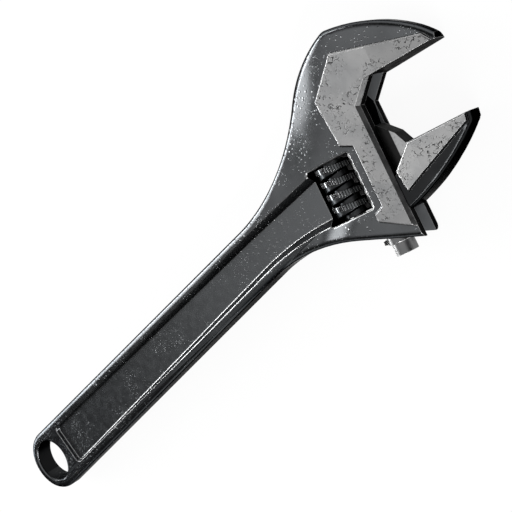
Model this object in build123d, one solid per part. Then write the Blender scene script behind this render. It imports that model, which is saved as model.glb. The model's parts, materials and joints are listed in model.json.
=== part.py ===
"""Adjustable wrench: forged body, sliding jaw with rack, knurled worm, worm pin and worm spring.

Millimetres. The origin is the centre of the hanging hole at mid thickness, +X runs along the handle
to the head and +Z is the front face. The head has its own frame, turned by the jaw angle: p runs out
along the jaws from the mouth face, and q runs up from the face of the fixed jaw.
"""
import os
from math import asin, atan2, ceil, cos, hypot, pi, radians, sin, tan

from build123d import *

# Handle
hole_radius = 10.4
hole_round = 0.9
end_radius = 15.1
neck_x = 178.0
neck_half_width = 11.1
end_thickness = 9.0
forging_thickness = 13.8
blend_x = 200.0
blend_radius = 500.0
forging_round = 2.4
rim_width = 5.4
panel_web = 6.8
panel_draft = 35.0
panel_corner = 1.5
panel_start = 17.2
panel_jog = 0.6

# Head outline
head_angle = 15.3
throat_x = 254.1
throat_y = 17.45
jaw_length = 32.0
jaw_taper = 5.5
taper_start = 10.9
crest_height = 21.3
crest_back = 2.5
crest_slope = 3.0
crest_round = 5.0
outer_jaw_radius = 57.0
tip_round_start = 5.8
tip_round_height = 7.1
tip_cut = 1.4
neck_reach = 30.0
belly_angle = 33.0
belly_radius = 70.0
lip_end = 55.6
throat_reach = 7.5
throat_depth = 7.0

# Ground lands on both faces
land_thickness = 16.0
land_chamfer = 0.5
lip_chamfer = 1.3
land_crest_drop = 8.1
land_crest_back = 2.1
land_tip_inset = 0.6
land_tip_slant = 2.2
land_tip_width = 3.3
land_shoulder = 2.7
land_shoulder_height = 1.3
land_notch = 1.3
land_notch_height = 2.7
land_frame = 3.4
land_frame_gap = 0.5
land_heel = 0.4
land_heel_drop = 2.0
land_heel_height = 2.8
land_foot = 4.5

# Slide and web of the movable jaw
slide_radius = 5.0
slide_centre = 11.4
slide_top = 18.9
slide_end = 58.3
tail_length = 4.4
tail_radius = 4.2
slide_clearance = 0.08
slide_end_gap = 0.6
web_thickness = 7.0
web_clearance = 0.15
gusset_height = 10.1
gusset_bend = 5.2
gusset_reach = 7.5
gusset_clearance = 0.4

# Worm and rack
worm_radius = 7.9
worm_length = 20.7
worm_top = 18.8
worm_end_gap = 0.3
rack_view = 2.2
worm_thumb_gap = 0.8
thread_pitch = 4.85
thread_depth = 2.7
thread_crest = 2.1
thread_shift = 1.15
thread_flank = 12.0
mesh_depth = 2.3
mesh_clearance = 0.22
rack_tip = 5.3
rack_thickness = 6.4
rack_clearance = 0.15
window_corner = 1.2
window_bevel = 0.4

# Worm pin and spring
pin_radius = 2.4
pin_seat = 6.0
pin_head_radius = 4.0
pin_head_wall = 2.0
pin_fit = 0.03
pin_running_fit = 0.06
pin_slot_width = 1.0
pin_slot_depth = 1.2
pin_recess = 2.5
spring_wire = 0.7
spring_sides = 6
spring_turns = 2.6
spring_pitch = 1.5
spring_clearance = 0.3

# Movable jaw at its photographed opening
jaw_opening = 25.0
jaw_gap = 0.2
root_reach = 9.8
root_depth = 8.5
jaw_depth = 20.3
jaw_tip_depth = 3.2
jaw_tip_setback = 0.5
jaw_back_radius = 86.0
jaw_round = 2.0
chin_round = 2.5
jaw_land_start = 1.6
jaw_land_slant = 1.1
jaw_land_depth = 14.8

# Room that a cut needs beyond the piece
overrun = 6.0
far = 120.0

# A distance or a direction component this small counts as none
near_zero = 0.01

# Frames and places worked out from the sizes
angle = radians(head_angle)
along_jaw = Vector(cos(angle), -sin(angle), 0)
up_slide = Vector(sin(angle), cos(angle), 0)
head = Plane(origin=(throat_x, throat_y, 0), x_dir=along_jaw, z_dir=(0, 0, 1))
worm_centre = slide_centre + rack_tip - mesh_depth + worm_radius
window_right = worm_centre - worm_radius - rack_view
window_left = worm_centre + worm_radius + worm_thumb_gap
window_top = worm_top - worm_end_gap
window_bottom = worm_top + worm_length + worm_end_gap
thread_start = worm_top + worm_length / 2 + thread_shift
spring_mean = pin_radius + spring_clearance + spring_wire / 2
spring_room = spring_mean + spring_wire / 2 + spring_clearance
spring_depth = spring_pitch * spring_turns + spring_wire + spring_clearance - worm_end_gap
taper = asin(end_radius / hypot(neck_x, neck_half_width)) - atan2(neck_half_width, neck_x)


def in_head(p, q):
    """Point of the head frame, in the wrench's own frame."""
    return head.from_local_coords(Vector(p, q, 0))


def head_polygon(*points):
    """Flat polygon in the head frame."""
    return head * Polygon(*points, align=None)


def slab(face, thickness):
    """Plate of one thickness about the wrench's middle plane."""
    return extrude(face, amount=thickness / 2, both=True)


def meet(start, direction, other, other_direction):
    """Point where two lines in the plan cross."""
    across = direction.X * other_direction.Y - direction.Y * other_direction.X
    offset = other - start
    reach = (offset.X * other_direction.Y - offset.Y * other_direction.X) / across
    return start + direction * reach


def two_arcs(start, start_direction, end, end_direction, reach):
    """Two tangent arcs that join two points with given directions."""
    chord = end - start
    turn = reach * (start_direction.dot(end_direction) - 1)
    back = (chord.dot(chord) / 2 - reach * chord.dot(start_direction)) / (chord.dot(end_direction) + turn)
    near = (start + start_direction * reach) * back
    joint = (near + (end - end_direction * back) * reach) * (1 / (reach + back))
    first = TangentArc(start, joint, tangent=start_direction)
    second = TangentArc(joint, end, tangent=first % 1)
    return [first, second]


def along_slide(p, q):
    """Work plane across the slide direction, with its normal up the slide."""
    return Plane(origin=in_head(p, q), x_dir=along_jaw, z_dir=up_slide)


def rod(radius, p, low, high):
    """Round bar along the slide direction between two heights."""
    return extrude(along_slide(p, low) * Circle(radius), amount=high - low)


# Plan outline of the forging, carried on past the mouth so that the mouth can be cut out of it
upper_way = Vector(cos(taper), -sin(taper))
lower_way = Vector(cos(taper), sin(taper))
upper_out = Vector(sin(taper), cos(taper))
lower_out = Vector(sin(taper), -cos(taper))
upper_neck = Vector(neck_x, neck_half_width)
lower_neck = Vector(neck_x, -neck_half_width)
crest = in_head(-crest_back, crest_height)
tip = in_head(jaw_length + tip_cut, 0)
tip_shoulder = in_head(jaw_length + tip_cut - tip_round_start, tip_round_height)
lip = in_head(0, -lip_end)
belly_way = Vector(cos(radians(belly_angle)), -sin(radians(belly_angle)))
crest_way = Vector(cos(radians(crest_slope)), sin(radians(crest_slope)))
belly_corner = meet(lower_neck, lower_way, lip, belly_way)


def forging_outline():
    """Closed plan outline of the forging."""
    cap = ThreePointArc(lower_out * end_radius, Vector(-end_radius, 0), upper_out * end_radius)
    upper_edge = Line(upper_out * end_radius, upper_neck)
    neck = two_arcs(upper_neck, upper_way, crest, crest_way, neck_reach)
    outer = RadiusArc(crest, tip_shoulder, outer_jaw_radius)
    tip_arc = TangentArc(tip_shoulder, tip, tangent=outer % 1)
    tip_run = Line(tip, tip + (tip_arc % 1) * overrun)
    lip_run = lip + belly_way * overrun
    closing = Line(tip_run @ 1, lip_run)
    belly = FilletPolyline(lip_run, belly_corner, lower_out * end_radius, radius=belly_radius)
    face = Face(Wire([cap, upper_edge, *neck, outer, tip_arc, tip_run, closing, *belly.edges()]))
    face = fillet(face.vertices().sort_by_distance(crest)[:1], crest_round)
    for spot in (tip_run @ 1, lip_run):
        face = fillet(face.vertices().sort_by_distance(spot)[:1], overrun / 2)
    return face


def thinned(face, thickness):
    """Plate about the middle plane that is flat up to the mouth face and thins along the jaws."""
    drop = far * tan(radians(jaw_taper))
    half = thickness / 2
    corners = [(-far, half), (0, half), (far, half - drop), (far, drop - half), (0, -half), (-far, -half)]
    wedge = along_slide(taper_start, 0) * Polygon(*corners, align=None)
    return slab(face, thickness) & extrude(wedge, amount=far, both=True)


def side_profile():
    """Side view of the forging: it thins towards the end of the handle and along the jaws."""
    slope = (forging_thickness - end_thickness) / 2 / (blend_x + end_radius)
    start = Vector(-end_radius - overrun, 0, end_thickness / 2 - slope * overrun)
    knee = Vector(blend_x, 0, forging_thickness / 2)
    throat = Vector(throat_x, 0, forging_thickness / 2)
    stop = throat + Vector(far, 0, -far * tan(radians(jaw_taper)))
    upper = FilletPolyline(start, knee, throat, stop, radius=blend_radius)
    lower = upper.mirror(Plane.XY)
    ends = [Line(upper @ 0, lower @ 0), Line(upper @ 1, lower @ 1)]
    return Face(Wire([*upper.edges(), *lower.edges(), *ends]))


def forging_blank():
    """Forging with rounded edges, before the mouth, window and bores are cut."""
    plate = slab(forging_outline(), forging_thickness + overrun)
    blank = plate & extrude(side_profile(), amount=far, both=True)
    walls = [face for face in blank.faces() if abs(face.normal_at().Z) < near_zero]
    sides = [edge for wall in walls for edge in wall.edges()]
    rims = ShapeList(edge for edge in sides if abs(edge.center().Z) > end_thickness / 4)
    return fillet(rims, forging_round)


def body_land():
    """Ground land that stands proud of the forging on both faces of the head."""
    tip_edge = jaw_length - land_tip_inset
    corners = [
        (tip_edge, -overrun),
        (tip_edge, 0),
        (tip_edge - land_tip_slant, land_tip_width),
        (-land_crest_back, crest_height - land_crest_drop),
        (-window_right - land_shoulder, land_shoulder_height),
        (-window_right - land_notch, -window_top + land_notch_height),
        (-window_right + land_frame, -window_top + land_frame_gap),
        (-window_right + land_frame, -window_bottom - land_frame_gap),
        (-window_right - land_heel, -window_bottom - land_heel_drop),
        (-window_right - land_heel, -window_bottom - land_heel_drop - land_heel_height),
        (0, -lip_end + land_foot),
        (overrun, -lip_end + land_foot),
    ]
    return chamfered_land(head_polygon(*corners))


def chamfered_land(face):
    """Plate of the ground thickness with its rims bevelled."""
    land = thinned(face, land_thickness)
    tops = [top for top in land.faces() if abs(top.normal_at().Z) > 0.5]
    rims = [edge for edge in land.edges() if abs(edge.center().Z) > land_chamfer and on_one(edge, tops)]
    return chamfer(ShapeList(rims), land_chamfer)


def on_one(edge, faces):
    """True for an edge that bounds just one of the given faces."""
    return sum(edge in face.edges() for face in faces) == 1


def mouth():
    """Space between the jaws, with the facet at the throat and the square end of the fixed jaw."""
    end = [(jaw_length, 0), (jaw_length, far), (far, far)]
    corners = [(0, -throat_depth), (throat_reach, 0), *end, (far, -far), (0, -far)]
    return slab(head_polygon(*corners), far)


def is_lip(edge):
    """True for an edge of a ground face along the mouth face or the throat facet."""
    spot = head.to_local_coords(edge.center())
    on_land = abs(abs(spot.Z) - land_thickness / 2) < near_zero
    facet = abs(spot.Y + throat_depth - spot.X * throat_depth / throat_reach)
    on_facet = facet < near_zero and 0 < spot.X < throat_reach
    return on_land and (abs(spot.X) < near_zero or on_facet)


def panel():
    """Recess in the front of the handle, from beside the hanging hole to the worm window."""
    inset = end_radius - rim_width
    upper_start = upper_out * inset + upper_way * panel_start
    lower_start = lower_out * inset + lower_way * panel_start
    upper_bend = upper_neck - upper_out * rim_width
    lower_bend = lower_neck - lower_out * rim_width
    spread = (forging_thickness - panel_web) / 2 * tan(radians(panel_draft))
    upper_end = in_head(-window_left + overrun, -window_top - spread)
    lower_end = in_head(-window_left, -window_bottom + spread + panel_jog)
    lower_run = in_head(-window_left + overrun, -window_bottom + spread + panel_jog)
    lines = [
        Line(lower_start, upper_start),
        Line(upper_start, upper_bend),
        Line(upper_bend, upper_end),
        Line(upper_end, lower_run),
        Line(lower_run, lower_end),
        TangentArc(lower_bend, lower_end, tangent=lower_way),
        Line(lower_bend, lower_start),
    ]
    floor = Face(Wire(lines))
    for spot in (upper_start, lower_start):
        floor = fillet(floor.vertices().sort_by_distance(spot)[:1], panel_corner)
    height = forging_thickness / 2 - panel_web / 2 + overrun / 2
    return extrude(Pos(0, 0, panel_web / 2) * floor, amount=height, dir=(0, 0, 1), taper=-panel_draft)


def window():
    """Opening for the worm, right through the head, with its rims bevelled."""
    place = head * Pos(-(window_left + window_right) / 2, -(window_top + window_bottom) / 2)
    face = place * RectangleRounded(window_left - window_right, window_bottom - window_top, window_corner)
    level = Pos(0, 0, forging_thickness / 2 - window_bevel) * face
    rim = extrude(level, amount=2 * window_bevel, dir=(0, 0, 1), taper=-45)
    return [slab(face, far), rim, mirror(rim, Plane.XY)]


def slide_way():
    """Round bore for the slide with slots for its web and its rack, open at the head's lower edge."""
    bore_top = jaw_opening - slide_top + slide_end_gap
    bore = rod(slide_radius + slide_clearance, -slide_centre, -far, bore_top)
    neck = slide_centre - slide_radius + gusset_clearance
    corners = [
        (-slide_centre, -far),
        (-slide_centre, bore_top),
        (-neck, bore_top),
        (-neck, gusset_height + 2 * gusset_clearance),
        (0, gusset_height + 2 * gusset_clearance),
        (gusset_bend + gusset_clearance, gusset_height - gusset_bend + gusset_clearance),
        (gusset_reach + gusset_clearance, 0),
        (gusset_reach + gusset_clearance, -far),
    ]
    slot = slab(head_polygon(*corners), web_thickness + 2 * web_clearance)
    rack_edge = -slide_centre - rack_tip - rack_clearance
    strip = [(-slide_centre, -far), (rack_edge, -far), (rack_edge, bore_top), (-slide_centre, bore_top)]
    return bore + slot + slab(head_polygon(*strip), rack_thickness + 2 * rack_clearance)


def movable_jaw():
    """Jaw, web and slide in one piece, with rack teeth that the worm drives."""
    foot = (jaw_gap, -jaw_opening - root_depth)
    root = (root_reach, -jaw_opening)
    nose = (jaw_length, -jaw_opening)
    chin = (jaw_length - jaw_tip_setback, -jaw_opening - jaw_tip_depth)
    heel = (jaw_gap, -jaw_opening - jaw_depth)
    straight = Polyline(heel, foot, root, nose, chin)
    back = RadiusArc(chin, heel, jaw_back_radius)
    plan = Face(Wire([*straight.edges(), back]))
    plan = fillet(plan.vertices().sort_by_distance(chin)[:1], chin_round)
    jaw = thinned(head * plan, forging_thickness)
    outer = [face for face in jaw.faces() if is_outer_wall(face)]
    rims = [edge for face in outer for edge in face.edges() if abs(edge.center().Z) > jaw_round]
    jaw = fillet(ShapeList(rims), jaw_round)
    land_nose = jaw_length - land_tip_inset
    land_corners = [
        (jaw_land_start, -jaw_opening - root_depth * (1 - jaw_land_start / root_reach)),
        root,
        (land_nose, -jaw_opening),
        (land_nose - jaw_tip_setback, -jaw_opening - jaw_tip_depth + land_chamfer),
        (jaw_land_start + jaw_land_slant, -jaw_opening - jaw_land_depth),
    ]
    jaw += chamfered_land(head_polygon(*land_corners))
    neck = slide_centre - slide_radius
    top = -jaw_opening + gusset_height
    web_corners = [
        (-slide_centre, -slide_top),
        (-neck, -slide_top),
        (-neck, top),
        (0, top),
        (gusset_bend, top - gusset_bend),
        (gusset_reach, -jaw_opening),
        (gusset_reach, -jaw_opening - root_depth),
        (jaw_gap + jaw_round, -jaw_opening - jaw_depth + jaw_round),
        (-slide_centre, -jaw_opening - jaw_depth + jaw_round),
    ]
    jaw += slab(head_polygon(*web_corners), web_thickness)
    jaw += rod(slide_radius, -slide_centre, tail_length - slide_end, -slide_top)
    jaw += rod(tail_radius, -slide_centre, -slide_end, -slide_top)
    rack_edge = -slide_centre - rack_tip
    strip = [
        (-slide_centre, -slide_end),
        (rack_edge, -slide_end),
        (rack_edge, -slide_top),
        (-slide_centre, -slide_top),
    ]
    jaw += slab(head_polygon(*strip), rack_thickness)
    jaw -= rack_cut()
    return jaw


def is_outer_wall(face):
    """True for the back and tip walls of the movable jaw's forging."""
    way = face.normal_at()
    return abs(way.Z) < near_zero and (face.geom_type == GeomType.CYLINDER or way.dot(along_jaw) > 0.5)


def thread_half_width(depth):
    """Half width of the worm's thread at a depth below its crest."""
    return thread_crest / 2 + depth * tan(radians(thread_flank))


def rack_cut():
    """Skewed grooves that clear the worm's thread, and the plain end below the last tooth."""
    tip_line = -slide_centre - rack_tip
    root_line = tip_line + mesh_depth + mesh_clearance
    outer_line = tip_line - mesh_clearance
    skew = thread_pitch / (2 * pi * (worm_radius - mesh_depth / 2))
    way = Vector(0, 0, 1) - up_slide * skew
    bottom = thread_half_width(-mesh_clearance) + mesh_clearance
    mouth_half = thread_half_width(root_line - outer_line - mesh_clearance) + mesh_clearance
    groove = [(root_line, bottom), (root_line, -bottom), (outer_line, -mouth_half), (outer_line, mouth_half)]
    first = int((slide_top - thread_start) / thread_pitch) - 1
    last = int((slide_end - thread_start) / thread_pitch)
    tail_top = -thread_start - last * thread_pitch
    tail = [(root_line, tail_top), (outer_line, tail_top), (outer_line, -far), (root_line, -far)]
    cuts = [slab(head_polygon(*tail), far)]
    for turn in range(first, last + 1):
        middle = -thread_start - turn * thread_pitch
        face = head_polygon(*[(p, middle + q) for p, q in groove])
        for side in (way, -way):
            cuts.append(extrude(face, amount=slide_radius * way.length, dir=side))
    return cuts


def body_piece():
    """Forged body with its lands, mouth, handle panels, worm window, slide bore and pin hole."""
    body = forging_blank() + body_land() - mouth()
    body = chamfer(body.edges().filter_by(is_lip), lip_chamfer)
    recess = panel()
    body -= [recess, mirror(recess, Plane.XY), *window(), slide_way(), pin_hole()]
    body -= extrude(Circle(hole_radius), amount=far, both=True)
    rims = [edge for edge in body.edges() if is_hole_rim(edge)]
    return fillet(ShapeList(rims), hole_round)


def is_hole_rim(edge):
    """True for the edge where the hanging hole meets a face of the handle."""
    spot = edge.center()
    on_wall = abs(hypot(spot.X, spot.Y) - hole_radius) < near_zero
    return on_wall and abs(spot.Z) > end_thickness / 4


def pin_end():
    """Height of the pin's slotted end, just inside the lower edge of the head."""
    exit_point = meet(in_head(-worm_centre, 0), up_slide, lip, belly_way)
    lean = tan(radians(belly_angle - head_angle))
    return head.to_local_coords(exit_point).Y + pin_head_radius * lean + pin_recess


def pin_hole():
    """Stepped hole for the pin, drilled from the lower edge of the head, across the window and beyond."""
    wide_top = -window_bottom - pin_head_wall
    shank = rod(pin_radius + pin_fit, -worm_centre, wide_top - overrun, -window_top + pin_seat + pin_fit)
    return shank + rod(pin_head_radius + pin_fit, -worm_centre, -far, wide_top + pin_fit)


def worm_pin():
    """Pin that carries the worm, with a screwdriver slot in its wide lower end."""
    low = pin_end()
    wide_top = -window_bottom - pin_head_wall
    pin = rod(pin_head_radius, -worm_centre, low, wide_top)
    pin += rod(pin_radius, -worm_centre, wide_top - overrun / 2, -window_top + pin_seat)
    slot = along_slide(-worm_centre, low) * Rectangle(far, pin_slot_width)
    return pin - extrude(slot, amount=pin_slot_depth)


def one_turn(radius, height):
    """One turn of a helix round the Z axis, from a height."""
    return (Pos(0, 0, height) * Helix(thread_pitch, thread_pitch, radius)).edge()


def screw_bar(turns):
    """Threaded bar round the Z axis with a crest at the origin's height, closed by stepped ends."""
    root_radius = worm_radius - thread_depth
    crest_half = thread_half_width(0)
    root_half = thread_half_width(thread_depth)
    profile = [
        (root_radius, -root_half),
        (worm_radius, -crest_half),
        (worm_radius, crest_half),
        (root_radius, root_half),
        (root_radius, thread_pitch - root_half),
    ]
    edges = [one_turn(*corner) for corner in profile]
    turn = [Face.make_surface_from_curves(low, high) for low, high in zip(edges, edges[1:])]
    axis = Line((0, 0, -root_half), (0, 0, thread_pitch - root_half)).edge()
    step = Polyline(axis @ 0, *[(radius, 0, height) for radius, height in profile], axis @ 1, close=True)
    end = [Face.make_surface_from_curves(axis, edges[0]), Face(Wire(step.edges()))]
    faces = [Pos(0, 0, count * thread_pitch) * face for count in range(turns) for face in turn]
    faces += end
    faces += [Pos(0, 0, turns * thread_pitch) * face for face in end]
    return Solid(Shell(faces))


def worm():
    """Adjusting screw: one thread, bored for its pin and counterbored for the spring."""
    below = ceil((worm_length / 2 - thread_shift) / thread_pitch) + 1
    above = ceil((worm_length / 2 + thread_shift) / thread_pitch) + 1
    bar = along_slide(-worm_centre, -thread_start - below * thread_pitch) * screw_bar(below + above)
    screw = bar & rod(worm_radius + overrun, -worm_centre, -worm_top - worm_length, -worm_top)
    screw -= rod(pin_radius + pin_running_fit, -worm_centre, -far, far)
    return screw - rod(spring_room, -worm_centre, -worm_top - spring_depth, far)


def worm_spring():
    """Compression spring round the pin, between the window's upper wall and the worm's counterbore."""
    coil = Helix(spring_pitch, spring_pitch * spring_turns, spring_mean)
    section = Plane(origin=coil @ 0, z_dir=coil % 0) * RegularPolygon(spring_wire / 2, spring_sides)
    wire = sweep(section, path=coil, is_frenet=True)
    bottom = -window_top - spring_pitch * spring_turns - spring_wire / 2
    return along_slide(-worm_centre, bottom) * wire


pieces = {
    "body": body_piece(),
    "movable_jaw": movable_jaw(),
    "worm": worm(),
    "worm_pin": worm_pin(),
    "worm_spring": worm_spring(),
}
os.makedirs("parts", exist_ok=True)
for name, piece in pieces.items():
    export_step(piece, f"parts/{name}.step")
    print(f"{name}: {len(piece.solids())} solid, {piece.volume:.1f} mm3, valid {piece.is_valid}")
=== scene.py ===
"""Looks of an adjustable wrench: its finishes, its knurled worm and a plain studio round it."""

import json
import logging
import math
from dataclasses import dataclass, field
from enum import Enum
from typing import ClassVar

import bpy
import numpy as np
from mathutils import Matrix, Vector

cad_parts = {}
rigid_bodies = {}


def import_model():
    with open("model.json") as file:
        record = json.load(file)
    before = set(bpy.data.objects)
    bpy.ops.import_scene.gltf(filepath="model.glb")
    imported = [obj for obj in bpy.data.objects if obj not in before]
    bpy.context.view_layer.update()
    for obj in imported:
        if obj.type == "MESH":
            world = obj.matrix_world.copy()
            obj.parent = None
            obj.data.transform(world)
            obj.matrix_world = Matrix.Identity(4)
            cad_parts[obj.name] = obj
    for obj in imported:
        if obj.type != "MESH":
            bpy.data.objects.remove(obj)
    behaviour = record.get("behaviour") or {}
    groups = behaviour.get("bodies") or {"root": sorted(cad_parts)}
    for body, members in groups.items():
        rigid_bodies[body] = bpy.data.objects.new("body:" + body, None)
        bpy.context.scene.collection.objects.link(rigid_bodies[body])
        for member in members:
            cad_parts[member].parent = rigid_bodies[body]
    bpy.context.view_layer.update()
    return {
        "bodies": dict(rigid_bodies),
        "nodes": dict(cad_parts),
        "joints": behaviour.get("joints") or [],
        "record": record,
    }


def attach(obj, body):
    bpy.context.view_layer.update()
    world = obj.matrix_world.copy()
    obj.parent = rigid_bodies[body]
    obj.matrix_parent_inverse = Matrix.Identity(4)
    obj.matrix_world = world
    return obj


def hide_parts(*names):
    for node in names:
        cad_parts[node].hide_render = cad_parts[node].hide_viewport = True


Socket = bpy.types.NodeSocket
Pair = tuple[float, float]
Triple = tuple[float, float, float]
Colour = tuple[float, float, float, float]

LOG = logging.getLogger("wrench")
MM = 0.001


class Zone(Enum):
    """Surface of a forging, by its finish or by the light or shade painted on it."""

    FORGED = 0
    PANEL = 1
    GROUND = 2
    BEVEL = 3
    LIP = 4
    MOUTH = 5
    BORE = 6
    SLIDE = 7
    GRIP = 8
    SLOT = 9
    WEB = 10
    WALL = 11
    THROAT = 12


def grey(level: float, tint: float = 0.0) -> Colour:
    """Linear grey, a little blue where the tint is above 0."""
    return (level * (1 - tint), level, level * (1 + tint), 1.0)


@dataclass(frozen=True)
class Cloud:
    """Random patches of a surface.

    Attributes:
        waves: Waves of the noise per metre.
        layers: Number of finer layers.
        low: Level of the noise at which a patch starts.
        high: Level at which it is full.
    """

    waves: float
    layers: float
    low: float = 0.0
    high: float = 1.0


class Nodes:
    """A node tree that is being filled."""

    def __init__(self, tree: bpy.types.NodeTree) -> None:
        """Takes the tree that the nodes go into."""
        self.tree = tree

    def node(self, kind: str, inputs: dict, **settings: object) -> bpy.types.Node:
        """Adds a node and fills its inputs.

        Args:
            kind: Blender's name for the node.
            inputs: Values or sockets by input name or number.
            settings: Properties of the node itself.

        Returns:
            The new node.
        """
        made = self.tree.nodes.new(kind)
        for name, value in settings.items():
            setattr(made, name, value)
        self.fill(made, inputs)
        return made

    def fill(self, node: bpy.types.Node, inputs: dict) -> None:
        """Sets or links inputs of a node.

        Args:
            node: The node.
            inputs: Values or sockets by input name or number.
        """
        for key, value in inputs.items():
            if isinstance(value, Socket):
                self.tree.links.new(value, node.inputs[key])
            else:
                node.inputs[key].default_value = value

    def maths(self, operation: str, *values: Socket | float) -> Socket:
        """Result of one sum on one or two values."""
        return self.node("ShaderNodeMath", dict(enumerate(values)), operation=operation).outputs[0]

    def times(self, value: Socket, other: Socket | float) -> Socket:
        """Product of two values."""
        return self.maths("MULTIPLY", value, other)

    def plus(self, value: Socket, other: Socket | float) -> Socket:
        """Sum of two values."""
        return self.maths("ADD", value, other)

    def most(self, value: Socket, other: Socket) -> Socket:
        """Larger of two values."""
        return self.maths("MAXIMUM", value, other)

    def ramp(self, value: Socket, low: float, high: float, at_low: float, at_high: float) -> Socket:
        """Maps a value smoothly from one range to another.

        Args:
            value: The value.
            low: Start of its range.
            high: End of its range.
            at_low: Result at the start.
            at_high: Result at the end.

        Returns:
            The mapped value.
        """
        span = {"Value": value, "From Min": low, "From Max": high}
        inputs = {**span, "To Min": at_low, "To Max": at_high}
        return self.node("ShaderNodeMapRange", inputs, interpolation_type="SMOOTHSTEP").outputs["Result"]


class Recipe(Nodes):
    """One procedural material being put together on Object coordinates."""

    # Painted shade falls on upright walls turned towards this side; the ranges set how upright and how
    # far turned.
    PAINTED_SHADE_SIDE = (0.45, -0.89, 0.0)
    PAINTED_SHADE_RISE = (0.20, 0.62)
    PAINTED_SHADE_TURN = (-0.2, 0.3)
    EDGE_BEND = (0.99, 0.93)
    EDGE_BREAKS = Cloud(260.0, 4.0, 0.30, 0.56)
    EDGE_LEAST = 0.8
    BAND_CORE = 0.3
    ROUNDING_SAMPLES = 10

    def __init__(self, name: str) -> None:
        """Starts a material with its shader and its coordinates.

        Args:
            name: Name of the material.
        """
        self.material = bpy.data.materials.new(name)
        self.material.use_nodes = True
        super().__init__(self.material.node_tree)
        self.shader = self.tree.nodes["Principled BSDF"]
        coordinates = self.node("ShaderNodeTexCoord", {}).outputs
        self.place = coordinates["Object"]
        self.facing = coordinates["Normal"]

    def noise(self, cloud: Cloud, place: Socket | None = None) -> Socket:
        """Soft random height.

        Args:
            cloud: Waves and layers of the noise.
            place: Coordinates, the piece's own by default.

        Returns:
            A value from 0 to 1, mostly near 0.5.
        """
        inputs = {"Vector": place or self.place, "Scale": cloud.waves, "Detail": cloud.layers}
        return self.node("ShaderNodeTexNoise", inputs).outputs["Fac"]

    def patches(self, cloud: Cloud, at_low: float = 0.0, at_high: float = 1.0) -> Socket:
        """Random patches with soft edges.

        Args:
            cloud: The patches.
            at_low: Value between them.
            at_high: Value on them.

        Returns:
            The value.
        """
        return self.ramp(self.noise(cloud), cloud.low, cloud.high, at_low, at_high)

    def dots(self, scale: float, radius: float) -> Socket:
        """Round dots scattered over the surface.

        Args:
            scale: Dots per metre.
            radius: Radius of a dot, as a share of the spacing.

        Returns:
            A value of 1 at the middle of a dot and 0 away from it.
        """
        cells = self.node("ShaderNodeTexVoronoi", {"Vector": self.place, "Scale": scale})
        return self.ramp(cells.outputs["Distance"], radius, 0.0, 0.0, 1.0)

    def near_arc(self, centre: Pair, radius: float, reach: float) -> Socket:
        """Nearness to an arc of the plan outline, from outside that arc, all in metres.

        Args:
            centre: Centre of the arc.
            radius: Radius of the arc.
            reach: Distance from the arc at which the value reaches 0.

        Returns:
            A value that grows from 0 to 1 at the arc, faster and faster.
        """
        plan = {0: self.place, 1: (1.0, 1.0, 0.0)}
        flat = self.node("ShaderNodeVectorMath", plan, operation="MULTIPLY").outputs[0]
        pair = {0: flat, 1: (*centre, 0.0)}
        away = self.node("ShaderNodeVectorMath", pair, operation="DISTANCE").outputs["Value"]
        limits = {"Value": away, "From Min": radius + reach, "From Max": radius}
        near = self.node("ShaderNodeMapRange", limits).outputs["Result"]
        return self.times(near, near)

    def band(self, value: Socket, middle: float, half: float) -> Socket:
        """Narrow band of a value.

        Args:
            value: The value.
            middle: Middle of the band.
            half: Half of its width.

        Returns:
            A value of 1 at the middle of the band and 0 outside it.
        """
        away = self.maths("ABSOLUTE", self.maths("SUBTRACT", value, middle))
        return self.ramp(away, half, self.BAND_CORE * half, 0.0, 1.0)

    def between(self, share: Socket, first: Socket | Colour, second: Socket | Colour) -> Socket:
        """Colour mixed from two.

        Args:
            share: Share of the second colour.
            first: A colour or a socket.
            second: A colour or a socket.

        Returns:
            The mixed colour.
        """
        return self.node("ShaderNodeMix", {0: share, 6: first, 7: second}, data_type="RGBA").outputs[2]

    def along(self, vector: Socket, way: Triple | Socket) -> Socket:
        """Length of a vector along a direction."""
        pair = {0: vector, 1: way}
        return self.node("ShaderNodeVectorMath", pair, operation="DOT_PRODUCT").outputs["Value"]

    def ahead(self, way: Triple) -> Socket:
        """Place along a direction of the piece's own frame, in metres."""
        return self.along(self.place, way)

    def wall(self) -> Socket:
        """Walls of the piece's own frame that stand upright and face the lower edge, where shade is
        painted.

        Returns:
            A value of 1 on such a wall and 0 on other faces.
        """
        rise = self.maths("ABSOLUTE", self.node("ShaderNodeSeparateXYZ", {0: self.facing}).outputs["Z"])
        toward = self.along(self.facing, self.PAINTED_SHADE_SIDE)
        steep = self.ramp(rise, *self.PAINTED_SHADE_RISE, 1.0, 0.0)
        return self.times(steep, self.ramp(toward, *self.PAINTED_SHADE_TURN, 0.0, 1.0))

    def rounded(self, radius: float) -> Socket:
        """Surface direction with the edges rounded.

        Args:
            radius: Radius of the rounding, in millimetres.

        Returns:
            The direction.
        """
        edge = self.node("ShaderNodeBevel", {"Radius": radius * MM}, samples=self.ROUNDING_SAMPLES)
        return edge.outputs["Normal"]

    def edges(self, width: float) -> Socket:
        """Edges lightened for wear and as painted highlight lines, broken up along their length.

        Args:
            width: Width of the lightened strip, in millimetres.

        Returns:
            A value of 1 on a lightened edge and 0 away from it.
        """
        flat = self.node("ShaderNodeNewGeometry", {}).outputs["Normal"]
        wear_and_highlight = self.ramp(self.along(self.rounded(width), flat), *self.EDGE_BEND, 0.0, 1.0)
        return self.times(wear_and_highlight, self.patches(self.EDGE_BREAKS, self.EDGE_LEAST))

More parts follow.
